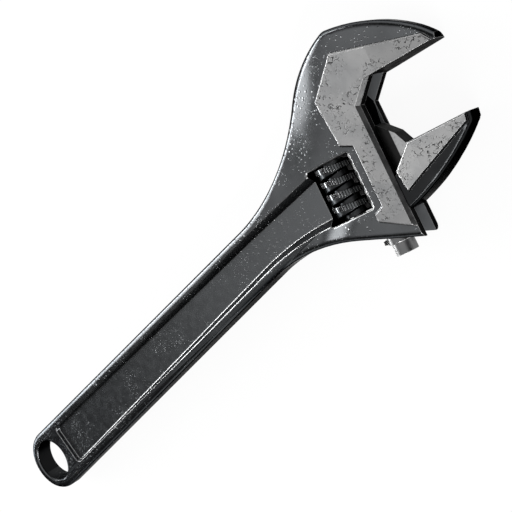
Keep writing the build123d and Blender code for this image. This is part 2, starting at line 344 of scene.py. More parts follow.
    def finish(self, inputs: dict, height: Socket, rounding: float) -> bpy.types.Material:
        """Fills the shader and raises the surface.

        Args:
            inputs: Values or sockets for the shader.
            height: Height of the surface, in millimetres.
            rounding: Radius of the edges, in millimetres.

        Returns:
            The finished material.
        """
        shape = {"Height": height, "Strength": 1.0, "Distance": MM, "Normal": self.rounded(rounding)}
        bump = self.node("ShaderNodeBump", shape)
        self.fill(self.shader, {**inputs, "Normal": bump.outputs["Normal"]})
        return self.material


@dataclass
class HeadFrame:
    """Frame of the head: p runs along the jaw faces, q up the slide, both in millimetres.

    Attributes:
        throat: Place of the throat in the wrench's own frame.
        angle: Lean of the head, in degrees.
    """

    throat: Pair = (254.1, 17.45)
    angle: float = 15.3

    @property
    def along(self) -> np.ndarray:
        """Direction along the jaw faces."""
        return np.array([math.cos(math.radians(self.angle)), -math.sin(math.radians(self.angle)), 0.0])

    @property
    def up(self) -> np.ndarray:
        """Direction up the slide."""
        return np.array([math.sin(math.radians(self.angle)), math.cos(math.radians(self.angle)), 0.0])

    def split(self, points: np.ndarray) -> tuple[np.ndarray, np.ndarray]:
        """Places of points in the head frame.

        Args:
            points: Points in millimetres, one in each row.

        Returns:
            Their places along the jaw faces and up the slide.
        """
        offset = points - np.array([*self.throat, 0.0])
        return offset @ self.along, offset @ self.up

    def point(self, p: float, q: float) -> np.ndarray:
        """Point of the head frame in the wrench's own frame, in millimetres."""
        return np.array([*self.throat, 0.0]) + p * self.along + q * self.up


@dataclass(frozen=True)
class NeckForm:
    """Soft forms of the forging round the neck, in metres.

    Attributes:
        centre: Centre of the neck's upper outline.
        radius: Radius of that outline.
        fall: Width of the strip that falls towards it.
        span: Places along the handle between which the fall fades in.
        dip_way: Direction across the hollow under the window.
        dip_span: Places in that direction where the hollow starts and is full.
        dip_top: Places across the handle between which the hollow fades out.
        dip_share: Depth of the hollow, as a share of the fall's.
    """

    centre: Pair = (0.17988, 0.09461)
    radius: float = 0.08353
    fall: float = 0.016
    span: Pair = (0.199, 0.238)
    dip_way: Triple = (-0.47, 0.88, 0.0)
    dip_span: Pair = (-0.1212, -0.1082)
    dip_top: Pair = (-0.011, -0.009)
    dip_share: float = 0.78

    def height(self, recipe: Recipe, depth: float) -> Socket:
        """Height of the face in these forms.

        Args:
            recipe: Material of the face.
            depth: Depth of the fall, in millimetres.

        Returns:
            The height in millimetres, 0 or below.
        """
        handle, across = recipe.ahead((1.0, 0.0, 0.0)), recipe.ahead((0.0, 1.0, 0.0))
        fall = recipe.near_arc(self.centre, self.radius, self.fall)
        fall = recipe.times(fall, recipe.ramp(handle, *self.span, 0.0, -depth))
        dip = recipe.ramp(recipe.ahead(self.dip_way), *self.dip_span, 0.0, -self.dip_share * depth)
        dip = recipe.times(dip, recipe.ramp(across, *self.dip_top, 1.0, 0.0))
        return recipe.plus(fall, dip)


@dataclass(frozen=True)
class ForgedFinish:
    """Dark satin finish of a forging, with soft waves, fine grain, raised scale lightened as painted
    glints, painted shade on upright walls that face the lower edge, and edges lightened for wear and for
    painted highlights.

    Attributes:
        name: Name of the material.
        dark: Grey of the darker patches.
        light: Grey of the lighter patches.
        side: Grey painted on upright walls that face the lower edge, as painted shade.
        wear_and_highlight: Grey of the edges, lightened for wear and for painted highlights.
        roughness: Middle roughness.
        wave: Height of the broad waves, in millimetres.
        grain: Height of the fine grain, in millimetres.
        scale: Height of the raised scale, in millimetres.
        edge: Width of the lightened edges, in millimetres.
        rounding: Radius of the edges, in millimetres.
        crown: Depth of the forms round the neck, in millimetres.
        grazing: Grey of the shine at a grazing angle.
        metal: Share of bare metal, from 0 to 1.
    """

    PATCHES: ClassVar[Cloud] = Cloud(60.0, 4.0, 0.35, 0.65)
    COARSE_AREAS: ClassVar[Cloud] = Cloud(48.0, 2.0, 0.46, 0.58)
    COARSE_DOTS: ClassVar[Pair] = (700.0, 0.32)
    FINE_AREAS: ClassVar[Cloud] = Cloud(110.0, 2.0, 0.50, 0.60)
    FINE_DOTS: ClassVar[Pair] = (1300.0, 0.28)
    SCALE_PAINTED_GLINT: ClassVar[float] = 0.4
    WAVES: ClassVar[Cloud] = Cloud(20.0, 1.0)
    GRAIN: ClassVar[Cloud] = Cloud(1400.0, 3.0)
    GLOSS: ClassVar[Cloud] = Cloud(300.0, 3.0, 0.3, 0.7)
    GLOSS_SPREAD: ClassVar[Pair] = (-0.02, 0.03)
    FACE_TINT: ClassVar[float] = 0.04
    SIDE_TINT: ClassVar[float] = 0.03

    name: str
    dark: float
    light: float
    side: float
    wear_and_highlight: float
    roughness: float
    wave: float
    grain: float
    scale: float
    edge: float = 0.5
    rounding: float = 0.8
    crown: float = 0.0
    grazing: float = 0.05
    metal: float = 1.0

    def raised_scale(self, recipe: Recipe) -> Socket:
        """Specks of scale, coarse and fine, each in areas of its own.

        Args:
            recipe: The material.

        Returns:
            A value of 1 on a speck and 0 away from it.
        """
        coarse = recipe.times(recipe.dots(*self.COARSE_DOTS), recipe.patches(self.COARSE_AREAS))
        fine = recipe.times(recipe.dots(*self.FINE_DOTS), recipe.patches(self.FINE_AREAS))
        return recipe.most(coarse, fine)

    def colour(self, recipe: Recipe, specks: Socket) -> Socket:
        """Colour of the surface.

        Args:
            recipe: The material.
            specks: Specks of scale.

        Returns:
            The colour.
        """
        dark, light = grey(self.dark, self.FACE_TINT), grey(self.light, self.FACE_TINT)
        face = recipe.between(recipe.patches(self.PATCHES), dark, light)
        # Painted glints: specks of raised scale are lightened towards the edge grey.
        face = recipe.between(recipe.times(specks, self.SCALE_PAINTED_GLINT), face, grey(self.wear_and_highlight))
        # Painted shade: upright walls that face the lower edge take the darker side grey.
        colour = recipe.between(recipe.wall(), face, grey(self.side, self.SIDE_TINT))
        # Edges, hollow corners too, are lightened both for wear and as painted highlight lines.
        return recipe.between(recipe.edges(self.edge), colour, grey(self.wear_and_highlight))

    def height(self, recipe: Recipe, specks: Socket) -> Socket:
        """Height of the surface.

        Args:
            recipe: The material.
            specks: Specks of scale.

        Returns:
            The height in millimetres.
        """
        height = recipe.times(recipe.noise(self.WAVES), self.wave)
        height = recipe.plus(height, recipe.times(recipe.noise(self.GRAIN), self.grain))
        height = recipe.plus(height, recipe.times(specks, self.scale))
        if self.crown > 0:
            height = recipe.plus(height, NeckForm().height(recipe, self.crown))
        return height

    def material(self) -> bpy.types.Material:
        """Builds the material.

        Returns:
            The material.
        """
        recipe = Recipe(self.name)
        specks = self.raised_scale(recipe)
        low, high = self.GLOSS_SPREAD
        inputs = {
            "Base Color": self.colour(recipe, specks),
            "Metallic": self.metal,
            "Roughness": recipe.patches(self.GLOSS, self.roughness + low, self.roughness + high),
            "Specular Tint": grey(self.grazing),
        }
        return recipe.finish(inputs, self.height(recipe, specks), self.rounding)


@dataclass(frozen=True)
class GroundFinish:
    """Bright ground steel with cloudy patches, grinding lines, dark pits and edges lightened for wear and
    for painted highlights.

    Attributes:
        name: Name of the material.
        dark: Grey of the darker patches.
        light: Grey of the lighter patches.
        pit: Grey of the pits.
        wear_and_highlight: Grey of the edges, lightened for wear and for painted highlights.
        roughness: Middle roughness.
        pit_share: How far the pits spread, from 0 to 1.
        lines: Height of the grinding lines, in millimetres.
        rounding: Radius of the edges, in millimetres.
        grazing: Grey of the shine at a grazing angle.
        painted_shadow_to: Place along the jaw faces up to which the lip's shadow is painted on the steel,
            in millimetres.
    """

    PATCHES: ClassVar[Cloud] = Cloud(110.0, 5.0, 0.35, 0.65)
    PIT_AREAS: ClassVar[Cloud] = Cloud(120.0, 3.0, 0.42, 0.56)
    CRACKS: ClassVar[Cloud] = Cloud(480.0, 9.0)
    CRACK_BAND: ClassVar[Pair] = (0.5, 0.030)
    CRACK_BREAKS: ClassVar[Cloud] = Cloud(600.0, 2.0, 0.42, 0.52)
    BLOTS: ClassVar[Cloud] = Cloud(1100.0, 5.0, 0.625, 0.66)
    SPECKS: ClassVar[Cloud] = Cloud(1700.0, 2.0, 0.70, 0.76)
    PIT_DEPTH: ClassVar[float] = 0.04
    GRIND: ClassVar[Cloud] = Cloud(1.0, 2.0)
    GRIND_STRETCH: ClassVar[Triple] = (260.0, 2600.0, 2600.0)
    GLOSS: ClassVar[Cloud] = Cloud(300.0, 3.0, 0.3, 0.7)
    GLOSS_SPREAD: ClassVar[Pair] = (-0.05, 0.08)
    DARK_TINT: ClassVar[float] = 0.01
    PAINTED_SHADOW_FADE: ClassVar[float] = 0.1

    name: str
    dark: float
    light: float
    pit: float
    wear_and_highlight: float
    roughness: float
    pit_share: float
    lines: float
    rounding: float = 0.3
    grazing: float = 0.8
    painted_shadow_to: float | None = None

    def pits(self, recipe: Recipe) -> Socket:
        """Clusters of cracks and blots, and single specks between them.

        Args:
            recipe: The material.

        Returns:
            A value of 1 in a pit and 0 away from it.
        """
        cracks = recipe.band(recipe.noise(self.CRACKS), *self.CRACK_BAND)
        cracks = recipe.times(cracks, recipe.patches(self.CRACK_BREAKS))
        areas = recipe.patches(self.PIT_AREAS, 0.0, self.pit_share)
        clusters = recipe.times(recipe.most(cracks, recipe.patches(self.BLOTS)), areas)
        return recipe.most(clusters, recipe.patches(self.SPECKS, 0.0, self.pit_share))

    def colour(self, recipe: Recipe, pits: Socket) -> Socket:
        """Colour of the surface.

        Args:
            recipe: The material.
            pits: Its pits.

        Returns:
            The colour.
        """
        dark, light = grey(self.dark, self.DARK_TINT), grey(self.light)
        steel = recipe.between(recipe.patches(self.PATCHES), dark, light)
        # Edges are lightened both for wear and as painted highlight lines.
        steel = recipe.between(recipe.edges(self.rounding), steel, grey(self.wear_and_highlight))
        colour = recipe.between(pits, steel, grey(self.pit))
        if self.painted_shadow_to is None:
            return colour
        # Painted shadow of the lip: up to the set place along the jaw faces, the steel takes the pit
        # grey.
        head = HeadFrame()
        edge = float(head.point(self.painted_shadow_to, 0.0) @ head.along)
        limits = ((edge - self.PAINTED_SHADOW_FADE) * MM, (edge + self.PAINTED_SHADOW_FADE) * MM)
        bare = recipe.ramp(recipe.ahead(tuple(head.along)), *limits, 0.0, 1.0)
        return recipe.between(bare, grey(self.pit), colour)

    def height(self, recipe: Recipe, pits: Socket) -> Socket:
        """Height of the surface.

        Args:
            recipe: The material.
            pits: Its pits.

        Returns:
            The height in millimetres.
        """
        long_way = {"Vector": recipe.place, "Scale": self.GRIND_STRETCH}
        stretched = recipe.node("ShaderNodeMapping", long_way).outputs["Vector"]
        grind = recipe.times(recipe.noise(self.GRIND, stretched), self.lines)
        return recipe.plus(grind, recipe.times(pits, -self.PIT_DEPTH))

    def material(self) -> bpy.types.Material:
        """Builds the material.

        Returns:
            The material.
        """
        recipe = Recipe(self.name)
        pits = self.pits(recipe)
        low, high = self.GLOSS_SPREAD
        inputs = {
            "Base Color": self.colour(recipe, pits),
            "Metallic": 1.0,
            "Roughness": recipe.patches(self.GLOSS, self.roughness + low, self.roughness + high),
            "Specular Tint": grey(self.grazing),
        }
        return recipe.finish(inputs, self.height(recipe, pits), self.rounding)


BLACK_FORGING = ForgedFinish(
    "black_forging", dark=0.090, light=0.110, side=0.035, wear_and_highlight=0.30, roughness=0.22,
    wave=0.25, grain=0.004, scale=0.12, crown=2.8,
)
PANEL_BLACK = ForgedFinish(
    "panel_black", dark=0.114, light=0.119, side=0.030, wear_and_highlight=0.30, roughness=0.25,
    wave=0.06, grain=0.004, scale=0.05,
)
# Painted shade: the panels' lower walls, the forging made near black, with lighter edges as painted
# highlight lines.
PANEL_WALL_PAINTED_SHADE = ForgedFinish(
    "panel_wall_painted_shade", dark=0.030, light=0.040, side=0.030, wear_and_highlight=0.60, roughness=0.45,
    wave=0.05, grain=0.004, scale=0.01, edge=0.6,
)
# Painted shade: the movable jaw's forging, a darker copy of the black forging.
JAW_BLACK_PAINTED_SHADE = ForgedFinish(
    "jaw_black_painted_shade", dark=0.020, light=0.027, side=0.018, wear_and_highlight=0.05, roughness=0.22,
    wave=0.10, grain=0.004, scale=0.01, edge=0.4, rounding=0.4, grazing=0.02,
)
# Painted shade: walls of the hanging hole and of the window, made darker than the forging.
BORE_PAINTED_SHADE = ForgedFinish(
    "bore_painted_shade", dark=0.020, light=0.032, side=0.010, wear_and_highlight=0.10, roughness=0.28,
    wave=0.05, grain=0.008, scale=0.01, edge=0.3, rounding=0.3,
)
SLOT_GREY = ForgedFinish(
    "slot_grey", dark=0.12, light=0.16, side=0.12, wear_and_highlight=0.20, roughness=0.50,
    wave=0.05, grain=0.008, scale=0.01, edge=0.3, rounding=0.3, metal=0.0,
)
WORM_BLACK = ForgedFinish(
    "worm_black", dark=0.090, light=0.115, side=0.080, wear_and_highlight=0.25, roughness=0.17,
    wave=0.03, grain=0.002, scale=0.0, edge=0.10, rounding=0.10,
)
# Painted shade: the thread under the ridges is made darker, so the gaps between the ridges read dark.
WORM_CORE_PAINTED_SHADE = ForgedFinish(
    "worm_core_painted_shade", dark=0.026, light=0.036, side=0.008, wear_and_highlight=0.10, roughness=0.28,
    wave=0.03, grain=0.004, scale=0.0, edge=0.10, rounding=0.10,
)
GROUND_LAND = GroundFinish(
    "ground_land", dark=0.225, light=0.265, pit=0.02, wear_and_highlight=0.60, roughness=0.46,
    pit_share=1.0, lines=0.004,
)
# Painted light: the movable jaw's lands, a lighter copy of the ground lands.
JAW_LAND_PAINTED_LIGHT = GroundFinish(
    "jaw_land_painted_light", dark=0.30, light=0.35, pit=0.02, wear_and_highlight=0.60, roughness=0.46,
    pit_share=1.0, lines=0.004,
)
# Bevels: ground steel made lighter than the lands, partly as painted highlight lines.
BEVEL_STEEL_AND_PAINTED_HIGHLIGHT = GroundFinish(
    "bevel_steel_and_painted_highlight", dark=0.32, light=0.38, pit=0.05, wear_and_highlight=0.55, roughness=0.30,
    pit_share=0.0, lines=0.003, rounding=0.4,
)
LIP_STEEL = GroundFinish(
    "lip_steel", dark=0.13, light=0.16, pit=0.04, wear_and_highlight=0.50, roughness=0.38,
    pit_share=0.3, lines=0.002,
)
# Painted shade: the movable jaw's upper faces and its rack, steel made near black.
MOUTH_PAINTED_SHADE = GroundFinish(
    "mouth_painted_shade", dark=0.020, light=0.030, pit=0.01, wear_and_highlight=0.40, roughness=0.40,
    pit_share=0.5, lines=0.006, grazing=0.45,
)
# Painted shade: the body's mouth faces beside the slot, steel made near black where shade falls.
THROAT_PAINTED_SHADE = GroundFinish(
    "throat_painted_shade", dark=0.012, light=0.018, pit=0.006, wear_and_highlight=0.30, roughness=0.40,
    pit_share=0.5, lines=0.006, grazing=0.30,
)
SLIDE_STEEL = GroundFinish(
    "slide_steel", dark=0.14, light=0.18, pit=0.05, wear_and_highlight=0.60, roughness=0.36,
    pit_share=0.0, lines=0.005,
)
# The web's face: ground steel made lighter than the lands as painted light, with the lip's painted shadow
# next to the slot.
WEB_PAINTED_LIGHT_AND_SHADOW = GroundFinish(
    "web_painted_light_and_shadow", dark=0.42, light=0.48, pit=0.02, wear_and_highlight=0.60, roughness=0.36,
    pit_share=0.2, lines=0.005, painted_shadow_to=3.7,
)
# Painted shade: the jaws' gripping faces, steel made near black.
GRIP_PAINTED_SHADE = GroundFinish(
    "grip_painted_shade", dark=0.022, light=0.036, pit=0.01, wear_and_highlight=0.40, roughness=0.36,
    pit_share=0.5, lines=0.006, grazing=0.12,
)
TURNED_STEEL = GroundFinish(
    "turned_steel", dark=0.30, light=0.40, pit=0.06, wear_and_highlight=0.60, roughness=0.34,
    pit_share=0.0, lines=0.004,
)
DRAWN_STEEL = GroundFinish(
    "drawn_steel", dark=0.40, light=0.50, pit=0.08, wear_and_highlight=0.60, roughness=0.30,
    pit_share=0.0, lines=0.002, rounding=0.05,
)


@dataclass
class Faces:
    """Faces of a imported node.

    Attributes:
        centres: Middle of each face, in millimetres.
        normals: Outward direction of each face.
    """

    FLAT: ClassVar[float] = 0.99
    NEARLY_FLAT: ClassVar[float] = 0.9
    SLANT: ClassVar[Pair] = (0.4, 0.93)

    centres: np.ndarray
    normals: np.ndarray

    @classmethod
    def of(cls, mesh: bpy.types.Mesh) -> "Faces":
        """Reads the faces of a mesh.

        Args:
            mesh: The mesh, in metres.

        Returns:
            Its faces.
        """
        count = len(mesh.polygons)
        centres = np.empty(count * 3, np.float32)
        normals = np.empty(count * 3, np.float32)
        mesh.polygons.foreach_get("center", centres)
        mesh.polygons.foreach_get("normal", normals)
        return cls(centres.reshape(-1, 3).astype(float) / MM, normals.reshape(-1, 3).astype(float))

    @property
    def level(self) -> np.ndarray:
        """Distance of each face from mid thickness, in millimetres."""
        return np.abs(self.centres[:, 2])

    @property
    def upright(self) -> np.ndarray:
        """Lean of each face, from 0 for an upright wall to 1 for a flat face."""
        return np.abs(self.normals[:, 2])

    @property
    def flat(self) -> np.ndarray:
        """True for a flat face."""
        return self.upright > self.FLAT

    @property
    def nearly_flat(self) -> np.ndarray:
        """True for a flat face or one that tapers."""
        return self.upright > self.NEARLY_FLAT

    @property
    def slanted(self) -> np.ndarray:
        """True for a face that leans as a bevel does."""
        return (self.upright > self.SLANT[0]) & (self.upright < self.SLANT[1])


@dataclass
class Forging:
    """A forging of the wrench whose faces are finished by zone, all in millimetres.

    Attributes:
        node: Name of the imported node.
        land_half: Half thickness over the ground lands.
        forging_half: Half thickness of the head's forging.
        taper_start: Where the jaws begin to thin.
        jaw_taper: Slope of that taper on each side, in degrees.
        bevel_depths: Least and greatest depth of the lands' bevels.
        slot_half: Half width of the slot for the jaw's web.
        close: How far from its true level a face may lie.
        steep: Greatest lean of an upright wall.
        turned: Least turn of a face towards a side that it faces.
        square: Least turn of a face that looks straight to a side.
        head: Frame of the head.
    """

    node: str
    land_half: float = 8.0
    forging_half: float = 6.9
    taper_start: float = 10.9
    jaw_taper: float = 5.5
    bevel_depths: Pair = (0.02, 0.55)
    slot_half: float = 3.7
    close: float = 0.08
    steep: float = 0.45
    turned: float = 0.3
    square: float = 0.9
    head: HeadFrame = field(default_factory=HeadFrame)

    def land_gap(self, faces: Faces) -> np.ndarray:
        """Depth of each face below the ground lands.

        Args:
            faces: Faces of the node.

        Returns:
            The depths in millimetres.
        """
        along, _ = self.head.split(faces.centres)
        slope = math.tan(math.radians(self.jaw_taper))
        thinning = np.clip(along - self.taper_start, 0.0, None) * slope
        return self.land_half - thinning - faces.level

    def on_land(self, faces: Faces) -> np.ndarray:
        """Faces of the ground lands.

        Args:
            faces: Faces of the node.

        Returns:
            True for a face of a land.
        """
        return (self.land_gap(faces) < self.close) & faces.nearly_flat

    def on_bevel(self, faces: Faces) -> np.ndarray:
        """Faces of the lands' bevels.

        Args:
            faces: Faces of the node.

        Returns:
            True for a face of a bevel.
        """
        depth = self.land_gap(faces)
        least, greatest = self.bevel_depths
        return (depth > least) & (depth < greatest) & faces.slanted

    def zones(self, faces: Faces) -> np.ndarray:
        """Finish of each face.

        Args:
            faces: Faces of the node.

        Returns:
            Zone numbers.
        """
        raise NotImplementedError

    def dress(self, frame: dict, palette: dict[Zone, bpy.types.Material]) -> None:
        """Gives every face of the node the finish of its zone.

        Args:
            frame: The loaded model.
            palette: Material of each zone.
        """
        target = frame["nodes"][self.node]
        zones = self.zones(Faces.of(target.data))
        target.data.materials.clear()
        for zone in Zone:
            target.data.materials.append(palette[zone])
        target.data.polygons.foreach_set("material_index", zones.astype(np.int32))
        target.data.update()
        LOG.info("%s: %s", self.node, {zone.name: int((zones == zone.value).sum()) for zone in Zone})


@dataclass
class Body(Forging):
    """The main forging: handle, head and fixed jaw.

    Attributes:
        hole_radius: Radius of the hanging hole.
        hole_round: Rounding at the hole's rims.
        panel_half: Half thickness of the handle's web.
        panel_end: Where the handle's panels end.
        head_start: Where the head starts, along the jaw faces.
        window: Lowest and highest corner of the worm's window, in the head frame.
        painted_shade_band: Width round the window in which the lands' bevels keep the dark forging
            colour, as painted shade.
        window_edge: How far from the window's outline its walls may lie.
        window_bevel: Width and depth of the window's bevel.
        inner_depth: Depth of the head's inner walls below the forging's face.
        slot_span: Start and end of the slot, along the jaw faces.
        slot_rise: Lower and upper end of the slot, along the slide.
        slot_front: Where the slot's side faces start, along the jaw faces.
        lip_depth: Depth of the bevel along the mouth.
        lip_start: Where that bevel starts, along the jaw faces.
        mouth_start: Where the mouth starts, along the jaw faces.
        mouth_top: Upper end of the mouth, along the slide.
    """

    hole_radius: float = 10.4
    hole_round: float = 0.3
    panel_half: float = 3.4
    panel_end: float = 225.0
    head_start: float = -40.0
    window: tuple[float, float, float, float] = (-31.0, -39.8, -12.2, -18.5)
    painted_shade_band: float = 4.5
    window_edge: float = 0.2
    window_bevel: float = 0.45
    inner_depth: float = 0.5
    slot_span: Pair = (-17.5, -0.3)
    slot_rise: Pair = (-50.0, 10.0)
    slot_front: float = -3.0
    lip_depth: float = 1.35
    lip_start: float = -1.5
    mouth_start: float = -0.2
    mouth_top: float = 0.5

    def in_window(self, faces: Faces, margin: float) -> np.ndarray:
        """Faces in the worm's window.

        Args:
            faces: Faces of the node.
            margin: How far the window is widened, in millimetres.

        Returns:
            True for a face in the window.
        """
        along, up = self.head.split(faces.centres)
        left, low, right, high = self.window
        across = (along > left - margin) & (along < right + margin)
        return across & (up > low - margin) & (up < high + margin)

    def mark_handle(self, faces: Faces, zones: np.ndarray) -> None:
        """Marks the hanging hole, the panels and their lower walls.

        Args:
            faces: Faces of the node.
            zones: Zone numbers to change.
        """
        x, y = faces.centres[:, 0], faces.centres[:, 1]
        hole = np.hypot(x, y) < self.hole_radius + self.hole_round
        zones[hole & (faces.upright < self.steep)] = Zone.BORE.value
        panel = x < self.panel_end
        floor = (np.abs(faces.level - self.panel_half) < self.close) & faces.flat
        zones[floor & panel] = Zone.PANEL.value
        wall = (y < 0) & (faces.normals[:, 1] > self.turned) & panel
        zones[wall & (faces.level < self.forging_half - self.close)] = Zone.WALL.value

    def mark_lands(self, faces: Faces, zones: np.ndarray) -> None:
        """Marks the ground lands and their bevels.

        Args:
            faces: Faces of the node.
            zones: Zone numbers to change.
        """
        along, _ = self.head.split(faces.centres)
        head = along > self.head_start
        zones[self.on_land(faces) & head] = Zone.GROUND.value
        bevel = self.on_bevel(faces) & head
        # Painted shade: the lands' bevels near the window keep the dark forging colour.
        zones[bevel & ~self.in_window(faces, self.painted_shade_band)] = Zone.BEVEL.value

    def mark_window(self, faces: Faces, zones: np.ndarray) -> None:
        """Marks the walls inside the head, the window and its bevel.

        Args:
            faces: Faces of the node.
            zones: Zone numbers to change.
        """
        along, up = self.head.split(faces.centres)
        start, end = self.slot_span
        foot, top = self.slot_rise
        depth = self.forging_half - faces.level
        inside = (depth > self.inner_depth) & (faces.upright < self.steep)
        slot = (along > start) & (along < end) & (up > foot) & (up < top)
        zones[inside & slot] = Zone.SLOT.value
        zones[self.in_window(faces, self.window_edge) & (depth > self.close)] = Zone.BORE.value
        # The window's bevel gets the bright bevel steel, which paints the highlight line along the
        # window's edge.
        bevel = self.in_window(faces, self.window_bevel) & (depth < self.window_bevel)
        zones[bevel & faces.slanted] = Zone.BEVEL.value

    def mark_mouth(self, faces: Faces, zones: np.ndarray) -> None:
        """Marks the mouth's bevel, the slot's sides, the throat and the fixed jaw's grip.

        Args:
            faces: Faces of the node.
            zones: Zone numbers to change.
        """
        along, up = self.head.split(faces.centres)
        facing = faces.normals @ self.head.along
        below = up < self.mouth_top
        rim = (facing > self.turned) & (along > self.lip_start) & below
        zones[rim & faces.slanted & (self.land_gap(faces) < self.lip_depth)] = Zone.LIP.value
        side = (faces.level < self.slot_half + self.close) & faces.flat
        zones[side & (along > self.slot_front)] = Zone.SLOT.value
        mouth = below & (along > self.mouth_start) & (faces.upright < self.steep)
        zones[mouth & (facing > self.turned)] = Zone.THROAT.value
        zones[mouth & (faces.normals @ self.head.up < -self.square)] = Zone.GRIP.value

    def zones(self, faces: Faces) -> np.ndarray:
        """Finish of each face of the body; a later mark goes over an earlier one.

        Args:
            faces: Faces of the node.

        Returns:
            Zone numbers.
        """
        zones = np.full(len(faces.centres), Zone.FORGED.value)
        for mark in (self.mark_handle, self.mark_lands, self.mark_window, self.mark_mouth):
            mark(faces, zones)
        return zones


@dataclass
class MovableJaw(Forging):
    """The sliding jaw with its web, its round slide and its rack.

    Attributes:
        bevel_turn: Greatest turn of a lower bevel towards the jaw's tip.
        grip_start: Where the grip starts, along the jaw faces.
        slide_end: Where the slide ends and the jaw starts, along the jaw faces.
        rack_foot: Place of the rack teeth's foot along the jaw faces.
    """

    bevel_turn: float = 0.1
    grip_start: float = 8.0
    slide_end: float = -0.2
    rack_foot: float = -14.1

    def zones(self, faces: Faces) -> np.ndarray:
        """Finish of each face of the movable jaw; a later mark goes over an earlier one.

        Args:
            faces: Faces of the node.

        Returns:
            Zone numbers.
        """
        along, _ = self.head.split(faces.centres)
        facing, rising = faces.normals @ self.head.along, faces.normals @ self.head.up
        zones = np.full(len(along), Zone.FORGED.value)
        zones[self.on_land(faces)] = Zone.GROUND.value
        bevel = self.on_bevel(faces) & ((facing < self.bevel_turn) | (rising > 0))
        zones[bevel] = Zone.BEVEL.value
        top = (rising > self.turned) & (faces.upright < self.steep)
        zones[top & (along > 0)] = Zone.MOUTH.value
        zones[top & (rising > self.square) & (along > self.grip_start)] = Zone.GRIP.value
        zones[along < self.slide_end] = Zone.SLIDE.value
        zones[(faces.level < self.slot_half) & faces.flat] = Zone.WEB.value
        zones[along < self.rack_foot] = Zone.MOUTH.value
        return zones


class RidgeTree(Nodes):
    """Node tree that sets ridges along the crest of a thread round the Z axis."""

    SIZES = ("Radius", "Turns", "Rise", "Start", "Turned", "Height", "Half width", "Length")
    HELIX_STEPS = 48
    UNIT_RIDGE = (2.0, 2.0, 1.0)

    def __init__(self) -> None:
        """Starts an empty tree with its named inputs."""
        super().__init__(bpy.data.node_groups.new("crest_ridges", "GeometryNodeTree"))
        sockets = [("Thread", "NodeSocketGeometry"), ("Count", "NodeSocketInt")]
        sockets += [(name, "NodeSocketMaterial") for name in ("Finish", "Core")]
        sockets += [(name, "NodeSocketFloat") for name in self.SIZES]
        for name, kind in sockets:
            self.tree.interface.new_socket(name, in_out="INPUT", socket_type=kind)
        self.tree.interface.new_socket("Screw", in_out="OUTPUT", socket_type="NodeSocketGeometry")
        self.sizes = self.node("NodeGroupInput", {}).outputs

    def crest(self) -> Socket:
        """Helix along the crest of the thread, with a point for each ridge.

        Returns:
            The curve.
        """
        sizes = self.sizes
        shape = {"Resolution": self.HELIX_STEPS, "Rotations": sizes["Turns"], "Height": sizes["Rise"]}
        radii = {"Start Radius": sizes["Radius"], "End Radius": sizes["Radius"]}
        helix = self.node("GeometryNodeCurveSpiral", {**shape, **radii}).outputs[0]
        lift = self.node("ShaderNodeCombineXYZ", {"Z": sizes["Start"]}).outputs[0]
        turn = self.node("ShaderNodeCombineXYZ", {"Z": sizes["Turned"]}).outputs[0]
        moves = {"Geometry": helix, "Translation": lift, "Rotation": turn}
        placed = self.node("GeometryNodeTransform", moves).outputs[0]
        count = {"Curve": placed, "Count": sizes["Count"]}
        return self.node("GeometryNodeResampleCurve", count).outputs[0]

    def ridges(self) -> Socket:
        """A ridge at each point of the crest, turned to look outwards.

        Returns:
            The ridges as one mesh.
        """
        sizes = self.sizes
        ridge = self.node("GeometryNodeMeshCube", {"Size": self.UNIT_RIDGE}).outputs[0]
        size = {"X": sizes["Height"], "Y": sizes["Half width"], "Z": sizes["Length"]}
        stretch = self.node("ShaderNodeCombineXYZ", size).outputs[0]
        outward = {"Vector": self.node("GeometryNodeInputPosition", {}).outputs[0]}
        aim = self.node("FunctionNodeAlignRotationToVector", outward, axis="X", pivot_axis="Z")
        spots = {"Points": self.crest(), "Instance": ridge}
        turned = {"Rotation": aim.outputs[0], "Scale": stretch}
        placed = self.node("GeometryNodeInstanceOnPoints", {**spots, **turned}).outputs[0]
        return self.node("GeometryNodeRealizeInstances", {"Geometry": placed}).outputs[0]

    def build(self) -> bpy.types.NodeTree:
        """Links the tree: the thread and its ridges, each with its own finish.

        Returns:
            The tree.
        """
        joined = self.node("GeometryNodeJoinGeometry", {})
        for part, finish in ((self.ridges(), "Finish"), (self.sizes["Thread"], "Core")):
            coat = {"Geometry": part, "Material": self.sizes[finish]}
            dressed = self.node("GeometryNodeSetMaterial", coat)
            self.tree.links.new(dressed.outputs[0], joined.inputs[0])
        self.node("NodeGroupOutput", {0: joined.outputs[0]})
        return self.tree


